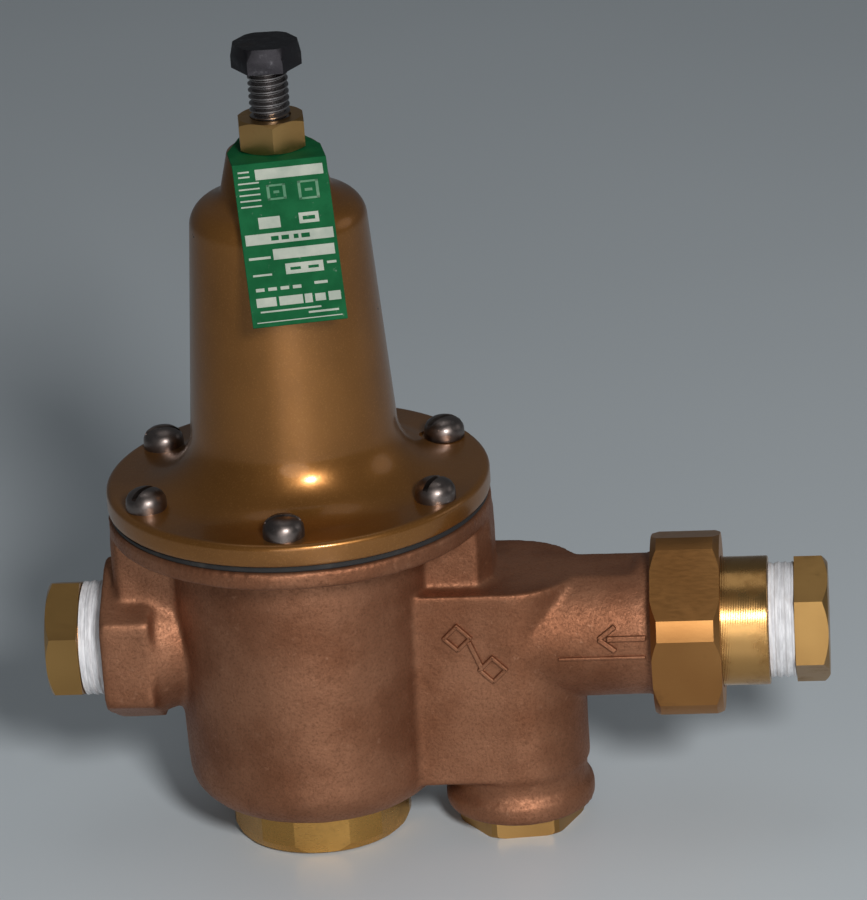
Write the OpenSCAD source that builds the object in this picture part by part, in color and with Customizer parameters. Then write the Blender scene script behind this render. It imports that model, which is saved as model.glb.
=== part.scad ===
// Direct-acting water pressure reducing valve with an integral strainer.
// Frame: Z is the axis of the spring cage, the flow runs from +X (union
// inlet) to -X (outlet), and Z = 0 is the surface that the valve stands on.
// Millimetres throughout.

/* [Body] */
// Height of the port axis above the table
port_z = 50; // [48:1:60]
// Outside diameter of the round bowl
bowl_d = 65; // [63:1:78]
// Wall of the bowl
bowl_wall = 4.5; // [3.5:0.5:5.5]
// Height of the underside of the bowl
bowl_bottom_z = 10.3; // [9:0.1:12.4]
// Radius of the bowl's lower corner
bowl_corner_r = 9.5; // [6:0.5:10]
// Height of the face that the diaphragm lies on
split_z = 85; // [83:1:102]
// How far the bolted flanges stand out from the bowl
flange_reach = 13.5; // [12:0.5:16.2]
// Thickness of the body flange
body_flange_t = 4.5; // [3.5:0.5:6]
// Half width of the webs between the ports and the flange
web_half_w = 12; // [8:1:14]
// How far the web over the outlet stands out from the bowl
outlet_web_reach = 12.8; // [8:0.1:13]
// How far the web over the inlet stands out from the bowl
inlet_web_reach = 13.5; // [8:0.5:13.5]

/* [Outlet boss] */
// Width across flats of the hexagonal outlet boss
outlet_af = 37; // [34:0.5:44.4]
// Length of the hexagon
outlet_hex_len = 12.3; // [10:0.1:14]
// Distance from the bowl to the face of the outlet boss
outlet_reach = 16; // [15.5:0.1:24]

/* [Inlet and strainer leg] */
// Radius of the inlet neck
neck_r = 17; // [16:0.5:18]
// Distance from the bowl to the axis of the strainer leg
leg_offset = 16.5; // [15:0.5:22]
// Radius of the strainer leg
leg_r = 16.6; // [15.5:0.1:18]
// Extra radius of the bead round the mouth of the leg
leg_bead = 1.6; // [0.5:0.1:2.5]
// Height of the bead
leg_bead_h = 6.5; // [6:0.5:11]
// Bore of the waterways
water_bore_d = 20; // [16:1:22]
// Distance from the leg axis to the shoulder of the union
union_reach = 34.5; // [32:0.5:42]

/* [Threads] */
// Outside diameter of the pipe thread in both ports and the strainer mouth
pipe_thread_d = 26.2; // [24:0.1:27.2]
// Length of the pipe thread in the outlet and the tailpiece
pipe_thread_len = 11; // [9:0.5:12]
// Outside diameter of the thread of the union
union_thread_d = 35.6; // [34.6:0.1:36.8]
// Length of the thread of the union
union_thread_len = 9.6; // [8:0.1:11]
// Outside diameter of the thread of the bottom cap
cap_thread_d = 35.6; // [33:0.1:37]
// Outside diameter of the thread of the adjusting screw
screw_d = 9.5; // [8:0.1:11]

/* [Spring cage] */
// Height of the cage above the diaphragm
cage_h = 87; // [73:0.1:104]
// Thickness of the cage flange
cage_flange_t = 5.5; // [4:0.5:7]
// Outside radius of the cage just under its shoulder
shoulder_r = 21; // [20:0.5:23]
// Outside radius of the cage where the flare begins
foot_r = 24.6; // [23:0.1:26]
// Radius of the flare between the cage and its flange
flare_r = 14; // [11:0.5:14]
// Wall of the cage
cage_wall = 3.5; // [2.5:0.5:4]
// Radius of the neck at the top of the cage
neck_top_r = 11; // [9.5:0.5:12]
// Height of the threaded neck above the shoulder
neck_h = 9.7; // [7:0.1:12]

/* [Adjusting screw, lock nut and tag] */
// Width across flats of the head of the adjusting screw
screw_head_af = 14.3; // [12:0.1:17]
// Height of the head
screw_head_h = 6; // [5:0.5:8]
// Length of the adjusting screw under its head
screw_len = 46; // [40:1:55]
// Bare thread between the lock nut and the head
screw_bare = 12; // [10:0.5:15]
// Width across flats of the lock nut
lock_nut_af = 15.1; // [13:0.1:18]
// Thickness of the lock nut
lock_nut_h = 7.4; // [5:0.1:9]
// Width of the tag
tag_w = 22; // [18:0.1:28]
// Thickness of the tag
tag_t = 0.6; // [0.4:0.1:0.8]
// How far the tag hangs below its bend
tag_drop = 32.5; // [25:0.5:42]
// Angle of the tag about the adjusting screw
tag_angle = 13; // [-20:1:20]

/* [Flange screws] */
// Diameter of the thread of the flange screws
flange_screw_d = 6.35; // [5:0.05:7]
// Diameter of their heads
flange_head_d = 9.8; // [8.5:0.1:10.6]
// Height of their heads
flange_head_h = 5.4; // [4:0.1:6.5]
// Depth of the spot faces under the heads
spot_face_depth = 0.3; // [0.1:0.1:0.8]

/* [Diaphragm and spring] */
// Thickness of the diaphragm
diaphragm_t = 1.5; // [1:0.1:2.5]
// Diameter of the plate under the spring
plate_d = 46; // [40:1:50]
// Outside diameter of the spring
spring_d = 31; // [27:0.5:32]
// Diameter of the spring wire
wire_d = 4.6; // [3.6:0.1:5.2]
// Number of turns of the spring
spring_turns = 7; // [5:1:8]

/* [Valve seat and stem] */
// Diameter of the stem
stem_d = 8; // [6:0.5:9]
// Bore of the seat
seat_bore_d = 16; // [15:0.5:18]
// Distance that the disc travels from open to closed
stroke = 3.4; // [2:0.1:4]

/* [Bottom cap and strainer plug] */
// Width across flats of the bottom cap
cap_af = 41.3; // [38:0.1:43]
// Turned diameter over the corners of the bottom cap
cap_turned_d = 43.4; // [41:0.1:45]
// Outside diameter of the strainer screen
screen_d = 21.4; // [17:0.1:22]
// Wall of the strainer screen
screen_t = 0.8; // [0.5:0.1:1.2]
// Height of the hexagon of the strainer plug
strainer_hex_h = 4; // [3.5:0.1:6]

/* [Union and pipe plugs] */
// Width across flats of the union nut
union_af = 42.4; // [40:0.1:46]
// Turned diameter over the corners of the union nut
union_turned_d = 46.3; // [44.5:0.1:50]
// Length of the union nut
union_nut_len = 16.5; // [15:0.1:19]
// Outside diameter of the tailpiece
tailpiece_d = 31; // [29.4:0.1:31]
// Length of the tailpiece outside the nut
tailpiece_len = 11.2; // [9:0.1:14]
// Width across flats of the pipe plugs
plug_af = 27; // [25:0.5:30]
// Length of the hexagon of the pipe plugs
plug_hex_len = 8; // [6:0.1:10]
// Taped thread that shows between a port and the hexagon of its plug
tape_len = 6.3; // [4:0.1:8]
// Thickness of the wound tape
tape_t = 0.9; // [0.5:0.1:1.2]

/* [Clearances] */
// Radial gap in a thread that turns
thread_gap = 0.1; // [0.05:0.05:0.2]
// Radial gap of the stem guides
guide_gap = 0.05; // [0.02:0.01:0.1]
// Gap between faces that part when something moves
face_gap = 0.1; // [0.05:0.05:0.2]
// Radial gap round pieces that are only located
loose_gap = 0.4; // [0.3:0.05:0.5]
// Radial gap of pieces that are clamped or wound in place
snug_gap = 0.03; // [0.02:0.01:0.05]

/* [Hidden] */
$fn = 96;
eps = 0.01;
gasket_t = 0.8;

// The bowl and its flange
bowl_r = bowl_d / 2;
flange_r = bowl_r + flange_reach;
flange_z = split_z - body_flange_t;
chamber_r = bowl_r - bowl_wall;
screw_circle_r = bowl_r + flange_reach * 0.52;
screw_count = 6;
first_screw_angle = -89;
flange_hole_gap = 0.25;

// The wall across the body that carries the seat
partition_t = 4;
partition_z = port_z - 17;
cap_mouth_h = 9.7;
floor_z = bowl_bottom_z + cap_mouth_h;

// The seat, which screws up into the partition from below
seat_thread_d = seat_bore_d + 7.8;
seat_hole_r = seat_thread_d / 2 + snug_gap;
seat_flange_d = seat_bore_d + 12.6;
seat_flange_h = 2.7;
seat_lip_h = 0.8;
seat_flange_z = partition_z - gasket_t - seat_flange_h;
seat_lip_z = seat_flange_z - seat_lip_h;

// The disc and its holder, drawn open as the spring holds them
disc_d = seat_bore_d + 6.4;
disc_t = 2.5;
disc_z = seat_lip_z - face_gap - stroke - disc_t;
holder_d = disc_d + 3.4;
holder_floor_t = 2.2;
holder_z = disc_z - holder_floor_t;
retainer_d = seat_bore_d - 3.4;
retainer_t = 1.2;
retainer_z = disc_z + disc_t;

// The bottom cap
cap_hex_h = bowl_bottom_z - gasket_t;
cap_thread_top_z = bowl_bottom_z + cap_mouth_h - 0.8;
cap_chamfer = 2.6;
guide_bore_r = stem_d / 2 + guide_gap;
guide_floor_z = 4;
guide_pin_z = guide_floor_z + 2.5;

// The strainer leg and the box that joins it to the bowl
leg_x = bowl_r + leg_offset;
box_half_w = neck_r + 0.4;
box_top_z = port_z + 15.6;
box_bottom_z = bowl_bottom_z + 5.7;
leg_bottom_z = strainer_hex_h + gasket_t;
strainer_mouth_top_z = leg_bottom_z + 11.2;
sump_r = leg_r - 2.7;
ledge_z = partition_z + partition_t;
screen_seat_r = screen_d / 2 + loose_gap;
screen_top_z = ledge_z + 2.5;
strainer_plug_top_z = strainer_mouth_top_z - 1;
screen_recess = 3;
screen_bottom_z = strainer_plug_top_z - screen_recess;
passage_r = 6.4;
passage_z = floor_z + passage_r + 0.2;

// The union
union_x = leg_x + union_reach;
union_thread_x = union_x - 1;
body_end_x = union_thread_x + union_thread_len + 1;
union_gasket_t = 1;
tail_flange_x = body_end_x + union_gasket_t;
tail_flange_t = 3;
tail_flange_d = union_thread_d - 1;
union_lip_x = tail_flange_x + tail_flange_t + face_gap;
union_end_x = union_x + union_nut_len;
tail_end_x = union_end_x + tailpiece_len;

// The outlet
outlet_x = -(bowl_r + outlet_reach);
outlet_neck_r = outlet_af / 2 - 3;
plug_bore_r = pipe_thread_d / 2 + thread_gap;

// The diaphragm, its plates and the stem
clamp_bore_r = stem_d / 2 + snug_gap;
washer_t = 2.5;
washer_d = plate_d - 4;
plate_t = 3;
plate_z = split_z + diaphragm_t;
plate_top_z = plate_z + plate_t;
stem_nut_af = stem_d * 1.6;
stem_nut_h = stem_d * 0.75;
stem_top_z = plate_top_z + stem_nut_h + 2;

// The spring cage
cage_z = plate_z;
cage_top_z = cage_z + cage_h;
cage_flange_top_z = cage_z + cage_flange_t;
flare_z = cage_flange_top_z + flare_r;
cage_inner_r = flange_r - 15;
corner_r = 6.5;
corner_sweep = 60;
shoulder_z = cage_top_z - neck_h - 8.2;
spot_face_r = flange_head_d / 2 + 1.3;
head_seat_z = cage_flange_top_z - spot_face_depth;
roof_t = 5;

// The adjusting screw, its lock nut and the tag
tag_z = cage_top_z + face_gap;
lock_nut_z = tag_z + tag_t + face_gap;
head_z = lock_nut_z + lock_nut_h + screw_bare;
tip_z = head_z - screw_len;
button_t = 4.5;
button_spigot_h = 3;
button_pocket = 1.5;
button_top_z = tip_z - face_gap + button_pocket;
button_z = button_top_z - button_t;
spring_len = button_z - plate_top_z;
coil_r = (spring_d - wire_d) / 2;
dead_turns = 0.9;
spigot_r = spring_d / 2 - wire_d - loose_gap;

// ---------------------------------------------------------------- helpers

// Points on an arc round centre c, from angle a0 to a1
function arc(c, r, a0, a1, steps = 8) =
    [for (i = [0:steps]) let (a = a0 + (a1 - a0) * i / steps) c + r * [cos(a), sin(a)]];

// A solid rod along X between two stations
module rod_x(x0, x1, r, z = port_z) {
    translate([x0, 0, z]) rotate([0, 90, 0]) cylinder(h = x1 - x0, r = r);
}

// A cone along X between two stations
module cone_x(x0, x1, r0, r1, z = port_z) {
    translate([x0, 0, z]) rotate([0, 90, 0]) cylinder(h = x1 - x0, r1 = r0, r2 = r1);
}

// A hexagon along X, turned by the given angle from corner-up
module hex_x(x0, x1, af, turn = 0) {
    translate([x0, 0, port_z]) rotate([turn, 0, 0]) rotate([0, 90, 0])
        cylinder(h = x1 - x0, d = af / cos(30), $fn = 6);
}

// A hexagon that stands on Z, turned about Z
module hex_z(z0, h, af, turn = 0) {
    translate([0, 0, z0]) rotate([0, 0, turn]) cylinder(h = h, d = af / cos(30), $fn = 6);
}

// A flat ring that stands on Z
module ring(z0, h, outer_r, inner_r) {
    translate([0, 0, z0]) difference() {
        cylinder(h = h, r = outer_r);
        translate([0, 0, -eps]) cylinder(h = h + 2 * eps, r = inner_r);
    }
}

// The same at each flange screw
module at_flange_screws() {
    for (i = [0:screw_count - 1])
        rotate([0, 0, first_screw_angle + i * 360 / screw_count])
            translate([screw_circle_r, 0, 0]) children();
}

// ------------------------------------------------------------------- body

// Outer form of the bowl with its flange
module bowl_form() {
    corner = [bowl_r - 1 - bowl_corner_r, bowl_bottom_z + bowl_corner_r];
    rotate_extrude() polygon(concat(
        [[0, bowl_bottom_z]],
        arc(corner, bowl_corner_r, -90, 0),
        [[bowl_r, flange_z], [flange_r - 0.5, flange_z]],
        [[flange_r, flange_z + 0.5], [flange_r, split_z], [0, split_z]]));
}

// The web under the flange above a port, with its outer corners cut off.
// side is 1 towards the inlet and -1 towards the outlet.
module web(side, reach, corner_cut) {
    end_x = bowl_r + reach;
    cut_y = web_half_w - 1.7 * corner_cut;
    outline = [[0, -web_half_w], [end_x - corner_cut, -web_half_w], [end_x, -cut_y],
               [end_x, cut_y], [end_x - corner_cut, web_half_w], [0, web_half_w]];
    translate([0, 0, port_z]) linear_extrude(flange_z - port_z + eps)
        scale([side, 1]) polygon(outline);
}

// The hexagonal outlet boss and the cone behind it
module outlet_form() {
    hex_end_x = outlet_x + outlet_hex_len;
    intersection() {
        hex_x(outlet_x, hex_end_x, outlet_af);
        union() {
            cone_x(outlet_x, outlet_x + 1, outlet_af / 2 + 1.4, outlet_af / 2 + 3);
            rod_x(outlet_x + 1 - eps, hex_end_x, outlet_af / 2 + 3);
        }
    }
    cone_x(hex_end_x - eps, hex_end_x + 8, outlet_af / 2 - 0.2, outlet_neck_r);
    rod_x(hex_end_x, 0, outlet_neck_r);
}

// The box, the strainer leg below it and the inlet neck
module inlet_form() {
    translate([0, 0, box_bottom_z]) linear_extrude(box_top_z - box_bottom_z) {
        translate([0, 0.1 - box_half_w]) square([leg_x, 2 * box_half_w - 0.2]);
        translate([leg_x, 0]) circle(r = box_half_w);
    }
    translate([leg_x, 0, 0]) rotate_extrude() polygon([
        [0, leg_bottom_z], [leg_r + leg_bead - 1, leg_bottom_z],
        [leg_r + leg_bead, leg_bottom_z + 1], [leg_r + leg_bead, leg_bottom_z + leg_bead_h - 2],
        [leg_r, leg_bottom_z + leg_bead_h], [leg_r, box_bottom_z + 1], [0, box_bottom_z + 1]]);
    difference() {
        rod_x(leg_x, union_x, neck_r);
        translate([leg_x, -neck_r, box_top_z]) cube([union_reach - 4, 2 * neck_r, neck_r]);
    }
    rod_x(union_x - eps, body_end_x, union_thread_d / 2);
}

// Waterways, threaded mouths and screw holes
module body_cuts() {
    translate([0, 0, ledge_z]) cylinder(h = split_z - ledge_z + eps, r = chamber_r);
    translate([0, 0, floor_z]) cylinder(h = partition_z - floor_z, r = chamber_r);
    translate([0, 0, bowl_bottom_z - eps])
        cylinder(h = cap_mouth_h + 2 * eps, d = cap_thread_d + 2 * thread_gap);
    translate([0, 0, partition_z - eps]) cylinder(h = partition_t + 2 * eps, r = seat_hole_r);
    rod_x(outlet_x - eps, outlet_x + pipe_thread_len + 2, plug_bore_r);
    rod_x(outlet_x + pipe_thread_len, -chamber_r / 2, water_bore_d / 2);
    rod_x(leg_x, body_end_x + eps, water_bore_d / 2);
    translate([leg_x, 0, 0]) {
        translate([0, 0, leg_bottom_z - eps])
            cylinder(h = strainer_mouth_top_z - leg_bottom_z + 2 * eps, r = plug_bore_r);
        translate([0, 0, strainer_mouth_top_z])
            cylinder(h = ledge_z - strainer_mouth_top_z, r = sump_r);
        translate([0, 0, ledge_z - eps])
            cylinder(h = port_z + water_bore_d / 2 - ledge_z, r = screen_seat_r);
    }
    rod_x(chamber_r - 4, leg_x - sump_r / 2, passage_r, passage_z);
    at_flange_screws() translate([0, 0, flange_z - 2])
        cylinder(h = body_flange_t + 3, d = flange_screw_d + 2 * flange_hole_gap);
}

module body() {
    color("#9a6148") difference() {
        union() {
            bowl_form();
            web(-1, outlet_web_reach, 1.5);
            web(1, inlet_web_reach, 3.3);
            outlet_form();
            inlet_form();
        }
        body_cuts();
    }
}

// ------------------------------------------------------------ spring cage

module cage_form() {
    flare = [foot_r + flare_r, flare_z];
    corner = [shoulder_r - corner_r, shoulder_z];
    slope_end = corner + corner_r * [cos(corner_sweep), sin(corner_sweep)];
    neck_foot_r = neck_top_r + 2.2;
    neck_foot_z = slope_end.y + (slope_end.x - neck_foot_r) / tan(corner_sweep);
    rotate_extrude() polygon(concat(
        [[0, cage_z], [flange_r, cage_z], [flange_r, cage_flange_top_z - 1.2],
         [flange_r - 1.2, cage_flange_top_z]],
        arc(flare, flare_r, 270, 180, 10),
        arc(corner, corner_r, 0, corner_sweep, 6),
        [[neck_foot_r, neck_foot_z], [neck_top_r, cage_top_z - 0.6],
         [neck_top_r - 0.6, cage_top_z], [0, cage_top_z]]));
}

module cage_cavity() {
    flare = [foot_r + flare_r, flare_z];
    inner_flare_r = flare_r + cage_wall;
    end_angle = 180 + acos((flare.x - cage_inner_r) / inner_flare_r);
    roof_z = shoulder_z + roof_t;
    rotate_extrude() polygon(concat(
        [[0, cage_z - eps], [cage_inner_r, cage_z - eps]],
        arc(flare, inner_flare_r, end_angle, 180, 6),
        [[shoulder_r - cage_wall, shoulder_z], [shoulder_r - cage_wall - 4, roof_z],
         [0, roof_z]]));
}

module spring_cage() {
    color("#8f5a1e") difference() {
        cage_form();
        cage_cavity();
        translate([0, 0, shoulder_z]) cylinder(h = cage_h, d = screw_d + 2 * thread_gap);
        at_flange_screws() {
            translate([0, 0, cage_z - 1])
                cylinder(h = cage_flange_t + 2, d = flange_screw_d + 2 * flange_hole_gap);
            translate([0, 0, head_seat_z]) cylinder(h = flare_r, r = spot_face_r);
        }
    }
}

// ------------------------------------------- adjusting screw, nut and tag

module adjusting_screw() {
    color("#4a4543") {
        intersection() {
            hex_z(head_z, screw_head_h, screw_head_af, 4);
            translate([0, 0, head_z]) cylinder(h = screw_head_h, r1 = screw_head_af * 0.62,
                r2 = screw_head_af * 0.53);
        }
        translate([0, 0, tip_z]) rotate_extrude() polygon([
            [0, 0], [screw_d * 0.2, 0], [screw_d / 2, screw_d * 0.3],
            [screw_d / 2, screw_len + eps], [0, screw_len + eps]]);
    }
}

module lock_nut() {
    half = lock_nut_af / 2;
    color("#b8862f") difference() {
        intersection() {
            hex_z(lock_nut_z, lock_nut_h, lock_nut_af, -21.5);
            translate([0, 0, lock_nut_z]) rotate_extrude() polygon([
                [0, 0], [half, 0], [half * 1.16, 0.6], [half * 1.16, lock_nut_h - 0.9],
                [half, lock_nut_h], [0, lock_nut_h]]);
        }
        translate([0, 0, lock_nut_z - eps])
            cylinder(h = lock_nut_h + 2 * eps, d = screw_d + 2 * thread_gap);
    }
}

// Lean of the front of the tag at which it just clears the shoulder of the cage
function tag_lean() =
    let (reach = [shoulder_r - corner_r - neck_top_r - 0.8, shoulder_z - tag_z])
    atan2(reach.x, -reach.y) + asin((corner_r + tag_t + 0.5) / norm(reach));

// Outer side of the tag from its rear edge over its bend to its lower edge, in Y and Z
function tag_path() =
    let (bend = [-neck_top_r - 0.8, tag_z + tag_t])
    [[neck_top_r - 2.5, bend.y], bend, bend - tag_drop * [tan(tag_lean()), 1]];

// The tag seen from above, narrower behind the lock nut
module tag_outline() {
    half = tag_w / 2;
    polygon([[-half, -3 * tag_drop], [half, -3 * tag_drop], [half, -2],
        [half * 0.55, neck_top_r], [-half * 0.55, neck_top_r], [-half, -2]]);
}

module tag_plate() {
    path = tag_path();
    slant = tag_lean();
    inner = [path[0] - [0, tag_t], path[1] + tag_t * [tan(45 - slant / 2), -1],
        path[2] + tag_t * [cos(slant), -sin(slant)]];
    color("#1f7a3e") rotate([0, 0, tag_angle]) difference() {
        intersection() {
            translate([-tag_w, 0, 0]) rotate([90, 0, 90]) linear_extrude(2 * tag_w)
                polygon([path[0], path[1], path[2], inner[2], inner[1], inner[0]]);
            linear_extrude(tag_z + 2) tag_outline();
        }
        translate([0, 0, tag_z - 1]) cylinder(h = tag_t + 2, d = screw_d + 2 * loose_gap);
    }
}

// --------------------------------------------------------- flange screws

module flange_screws() {
    slot_w = 1.3;
    slot_depth = 1.8;
    head_r = flange_head_d / 2;
    shank_z = flange_z - 0.8;
    color("#77716c") at_flange_screws() difference() {
        union() {
            translate([0, 0, head_seat_z]) rotate_extrude() polygon([
                [0, 0], [head_r, 0], [head_r, flange_head_h * 0.62],
                [head_r * 0.86, flange_head_h * 0.84], [head_r * 0.5, flange_head_h * 0.97],
                [0, flange_head_h]]);
            translate([0, 0, shank_z])
                cylinder(h = head_seat_z - shank_z + eps, d = flange_screw_d);
        }
        translate([0, 0, head_seat_z + flange_head_h]) rotate([0, 0, 90])
            cube([flange_head_d + 2, slot_w, 2 * slot_depth], center = true);
    }
}

// ---------------------------------------------- diaphragm, plates and stem

module diaphragm() {
    color("#1c1a1a") difference() {
        translate([0, 0, split_z]) cylinder(h = diaphragm_t, r = flange_r - 0.6);
        translate([0, 0, split_z - 1]) cylinder(h = diaphragm_t + 2, r = clamp_bore_r);
        at_flange_screws() translate([0, 0, split_z - 1])
            cylinder(h = diaphragm_t + 2, d = flange_screw_d + 2 * flange_hole_gap);
    }
}

module diaphragm_plate() {
    color("#a9a9ad") {
        ring(plate_z, plate_t, plate_d / 2, clamp_bore_r);
        ring(plate_top_z - eps, 2.5, spigot_r, stem_nut_af / 2 + 1.2);
    }
}

module diaphragm_washer() {
    color("#b08d3c") ring(split_z - washer_t, washer_t, washer_d / 2, clamp_bore_r);
}

module stem() {
    color("#c2a04a") {
        translate([0, 0, disc_z]) cylinder(h = stem_top_z - disc_z, d = stem_d);
        ring(split_z - washer_t - 3, 3, stem_d / 2 + 2.5, stem_d / 2 - 1);
    }
}

module stem_nut() {
    color("#c2a04a") difference() {
        hex_z(plate_top_z, stem_nut_h, stem_nut_af);
        translate([0, 0, plate_top_z - 1]) cylinder(h = stem_nut_h + 2, r = clamp_bore_r);
    }
}

// A helix of round wire whose end turns lie flat
module range_spring() {
    sides = 10;
    steps = 18;
    count = spring_turns * steps;
    wire_r = wire_d / 2;
    rise = spring_len - 2 * wire_r - 2 * face_gap;
    live = spring_turns - 2 * dead_turns;
    function climb(turn) = let (u = min(max((turn - dead_turns) / live, 0), 1))
        u + 0.09 * (min(turn, dead_turns) + min(max(turn - spring_turns + dead_turns, 0), dead_turns)
        - u * 2 * dead_turns);
    points = [for (i = [0:count], j = [0:sides - 1])
        let (turn = i / steps, a = 360 * turn, b = 360 * j / sides)
        let (r = coil_r + wire_r * cos(b))
        [r * cos(a), r * sin(a), climb(turn) * rise + wire_r * sin(b)]];
    sleeve = [for (i = [0:count - 1], j = [0:sides - 1]) let (k = (j + 1) % sides)
        [i * sides + j, i * sides + k, (i + 1) * sides + k, (i + 1) * sides + j]];
    first_end = [for (j = [0:sides - 1]) sides - 1 - j];
    last_end = [for (j = [0:sides - 1]) count * sides + j];
    color("#5b5f66") translate([0, 0, plate_top_z + wire_r + face_gap])
        polyhedron(points = points, faces = concat([first_end, last_end], sleeve));
}

module spring_button() {
    color("#8b8d92") difference() {
        union() {
            translate([0, 0, button_z]) cylinder(h = button_t, d = spring_d - 0.5);
            translate([0, 0, button_z - button_spigot_h]) cylinder(h = button_spigot_h + eps, r = spigot_r);
        }
        translate([0, 0, button_top_z - button_pocket])
            cylinder(h = button_pocket + 1, d = screw_d + 2 * loose_gap);
    }
}

// ------------------------------------------------------------ seat and disc

module seat_ring() {
    color("#c9a24b") difference() {
        translate([0, 0, seat_lip_z]) rotate_extrude() polygon([
            [seat_bore_d / 2, 0], [seat_bore_d / 2 + 1.6, 0], [seat_bore_d / 2 + 2.4, seat_lip_h],
            [seat_flange_d / 2, seat_lip_h], [seat_flange_d / 2, seat_lip_h + seat_flange_h],
            [seat_thread_d / 2, seat_lip_h + seat_flange_h],
            [seat_thread_d / 2, partition_z + partition_t - seat_lip_z + 0.4],
            [seat_bore_d / 2, partition_z + partition_t - seat_lip_z + 0.4]]);
        for (a = [0, 90]) rotate([0, 0, a]) translate([0, 0, ledge_z + 0.4])
            cube([seat_thread_d + 2, 2.5, 3], center = true);
    }
}

module seat_gasket() {
    color("#2a2a2a") ring(partition_z - gasket_t, gasket_t, seat_flange_d / 2 - 0.3, seat_hole_r);
}

module disc_holder() {
    color("#c2a04a") {
        difference() {
            translate([0, 0, holder_z]) cylinder(h = holder_floor_t + disc_t * 0.7, d = holder_d);
            translate([0, 0, disc_z]) cylinder(h = disc_t, r = disc_d / 2 + snug_gap);
        }
        translate([0, 0, guide_pin_z]) cylinder(h = holder_z - guide_pin_z + eps, d = stem_d);
    }
}

module seat_disc() {
    color("#26221f") ring(disc_z, disc_t, disc_d / 2, clamp_bore_r);
}

module disc_retainer() {
    color("#c9a24b") ring(retainer_z, retainer_t, retainer_d / 2, clamp_bore_r);
}

// ---------------------------------------------- bottom cap and strainer

// A hexagon with its corners turned off and a chamfer at its lower end
module turned_hex_z(h, af, turned_d, chamfer, turn) {
    half = turned_d / 2;
    intersection() {
        hex_z(0, h, af, turn);
        rotate_extrude() polygon([
            [0, 0], [half - chamfer, 0], [half - 0.3 * chamfer, 0.3 * chamfer],
            [half, chamfer], [half, h], [0, h]]);
    }
}

module bottom_cap() {
    color("#b8862f") difference() {
        union() {
            turned_hex_z(cap_hex_h, cap_af, cap_turned_d, cap_chamfer, 5);
            ring(cap_hex_h - eps, cap_thread_top_z - cap_hex_h, cap_thread_d / 2, cap_thread_d / 2 - 3);
            translate([0, 0, cap_hex_h - eps])
                cylinder(h = cap_thread_top_z - cap_hex_h, r = guide_bore_r + 3);
        }
        translate([0, 0, guide_floor_z]) cylinder(h = floor_z, r = guide_bore_r);
    }
}

module cap_gasket() {
    color("#2a2a2a") ring(cap_hex_h, gasket_t, cap_af / 2, cap_thread_d / 2 + loose_gap);
}

module strainer_plug() {
    color("#b8862f") translate([leg_x, 0, 0]) difference() {
        union() {
            turned_hex_z(strainer_hex_h, plug_af, plug_af / cos(30) - 0.8, 0.8, 7);
            translate([0, 0, strainer_hex_h - eps])
                cylinder(h = strainer_plug_top_z - strainer_hex_h + eps, d = pipe_thread_d);
        }
        translate([0, 0, screen_bottom_z - 2]) cylinder(h = 20, r = screen_d / 2 - 3);
        translate([0, 0, screen_bottom_z - face_gap]) cylinder(h = 20, r = screen_seat_r);
    }
}

module strainer_gasket() {
    color("#2a2a2a") translate([leg_x, 0, 0])
        ring(strainer_hex_h, gasket_t, leg_r - 2, pipe_thread_d / 2 + loose_gap / 2);
}

module strainer_screen() {
    color("#b9bcc0") translate([leg_x, 0, 0])
        ring(screen_bottom_z, screen_top_z - screen_bottom_z, screen_d / 2, screen_d / 2 - screen_t);
}

// -------------------------------------------------------- union and plugs

module union_nut() {
    half = union_turned_d / 2;
    color("#b08135") difference() {
        intersection() {
            hex_x(union_x, union_end_x, union_af, 12);
            union() {
                cone_x(union_x, union_x + 1.5, half - 1.6, half);
                rod_x(union_x + 1.5 - eps, union_end_x - 1.5 + eps, half);
                cone_x(union_end_x - 1.5, union_end_x, half, half - 1.6);
            }
        }
        rod_x(union_x - eps, union_lip_x, union_thread_d / 2 + thread_gap);
        rod_x(union_x, union_end_x + eps, tailpiece_d / 2 + loose_gap);
    }
}

module union_tailpiece() {
    color("#c9952f") difference() {
        union() {
            rod_x(tail_flange_x, tail_flange_x + tail_flange_t, tail_flange_d / 2);
            rod_x(tail_flange_x + tail_flange_t - eps, tail_end_x, tailpiece_d / 2);
        }
        rod_x(tail_flange_x - eps, tail_end_x, water_bore_d / 2);
        rod_x(tail_end_x - pipe_thread_len - 1, tail_end_x + eps, plug_bore_r);
    }
}

module union_gasket() {
    color("#2a2a2a") difference() {
        rod_x(body_end_x, tail_flange_x, tail_flange_d / 2 - 0.5);
        rod_x(body_end_x - 1, tail_flange_x + 1, water_bore_d / 2 + 1);
    }
}

// A pipe plug drawn in the outlet: hexagon, then thread towards +X
module plug_form(port_x, turn) {
    hex_x0 = port_x - tape_len - plug_hex_len;
    color("#b8862f") difference() {
        union() {
            intersection() {
                hex_x(hex_x0, hex_x0 + plug_hex_len, plug_af, turn);
                union() {
                    cone_x(hex_x0, hex_x0 + 1.4, plug_af / 2, plug_af / 2 + 2.1);
                    rod_x(hex_x0 + 1.4 - eps, hex_x0 + plug_hex_len, plug_af / 2 + 2.1);
                }
            }
            rod_x(hex_x0 + plug_hex_len - eps, port_x + pipe_thread_len - 1, pipe_thread_d / 2);
        }
        rod_x(hex_x0 + plug_hex_len, port_x + pipe_thread_len, pipe_thread_d / 2 - 4);
    }
}

module tape_form(port_x) {
    color("#eae4e6") difference() {
        rod_x(port_x - tape_len + 0.3, port_x - 0.1, pipe_thread_d / 2 + tape_t);
        rod_x(port_x - tape_len, port_x + 1, pipe_thread_d / 2 + snug_gap);
    }
}

module outlet_plug() {
    plug_form(outlet_x, 8);
}

module outlet_tape() {
    tape_form(outlet_x);
}

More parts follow.
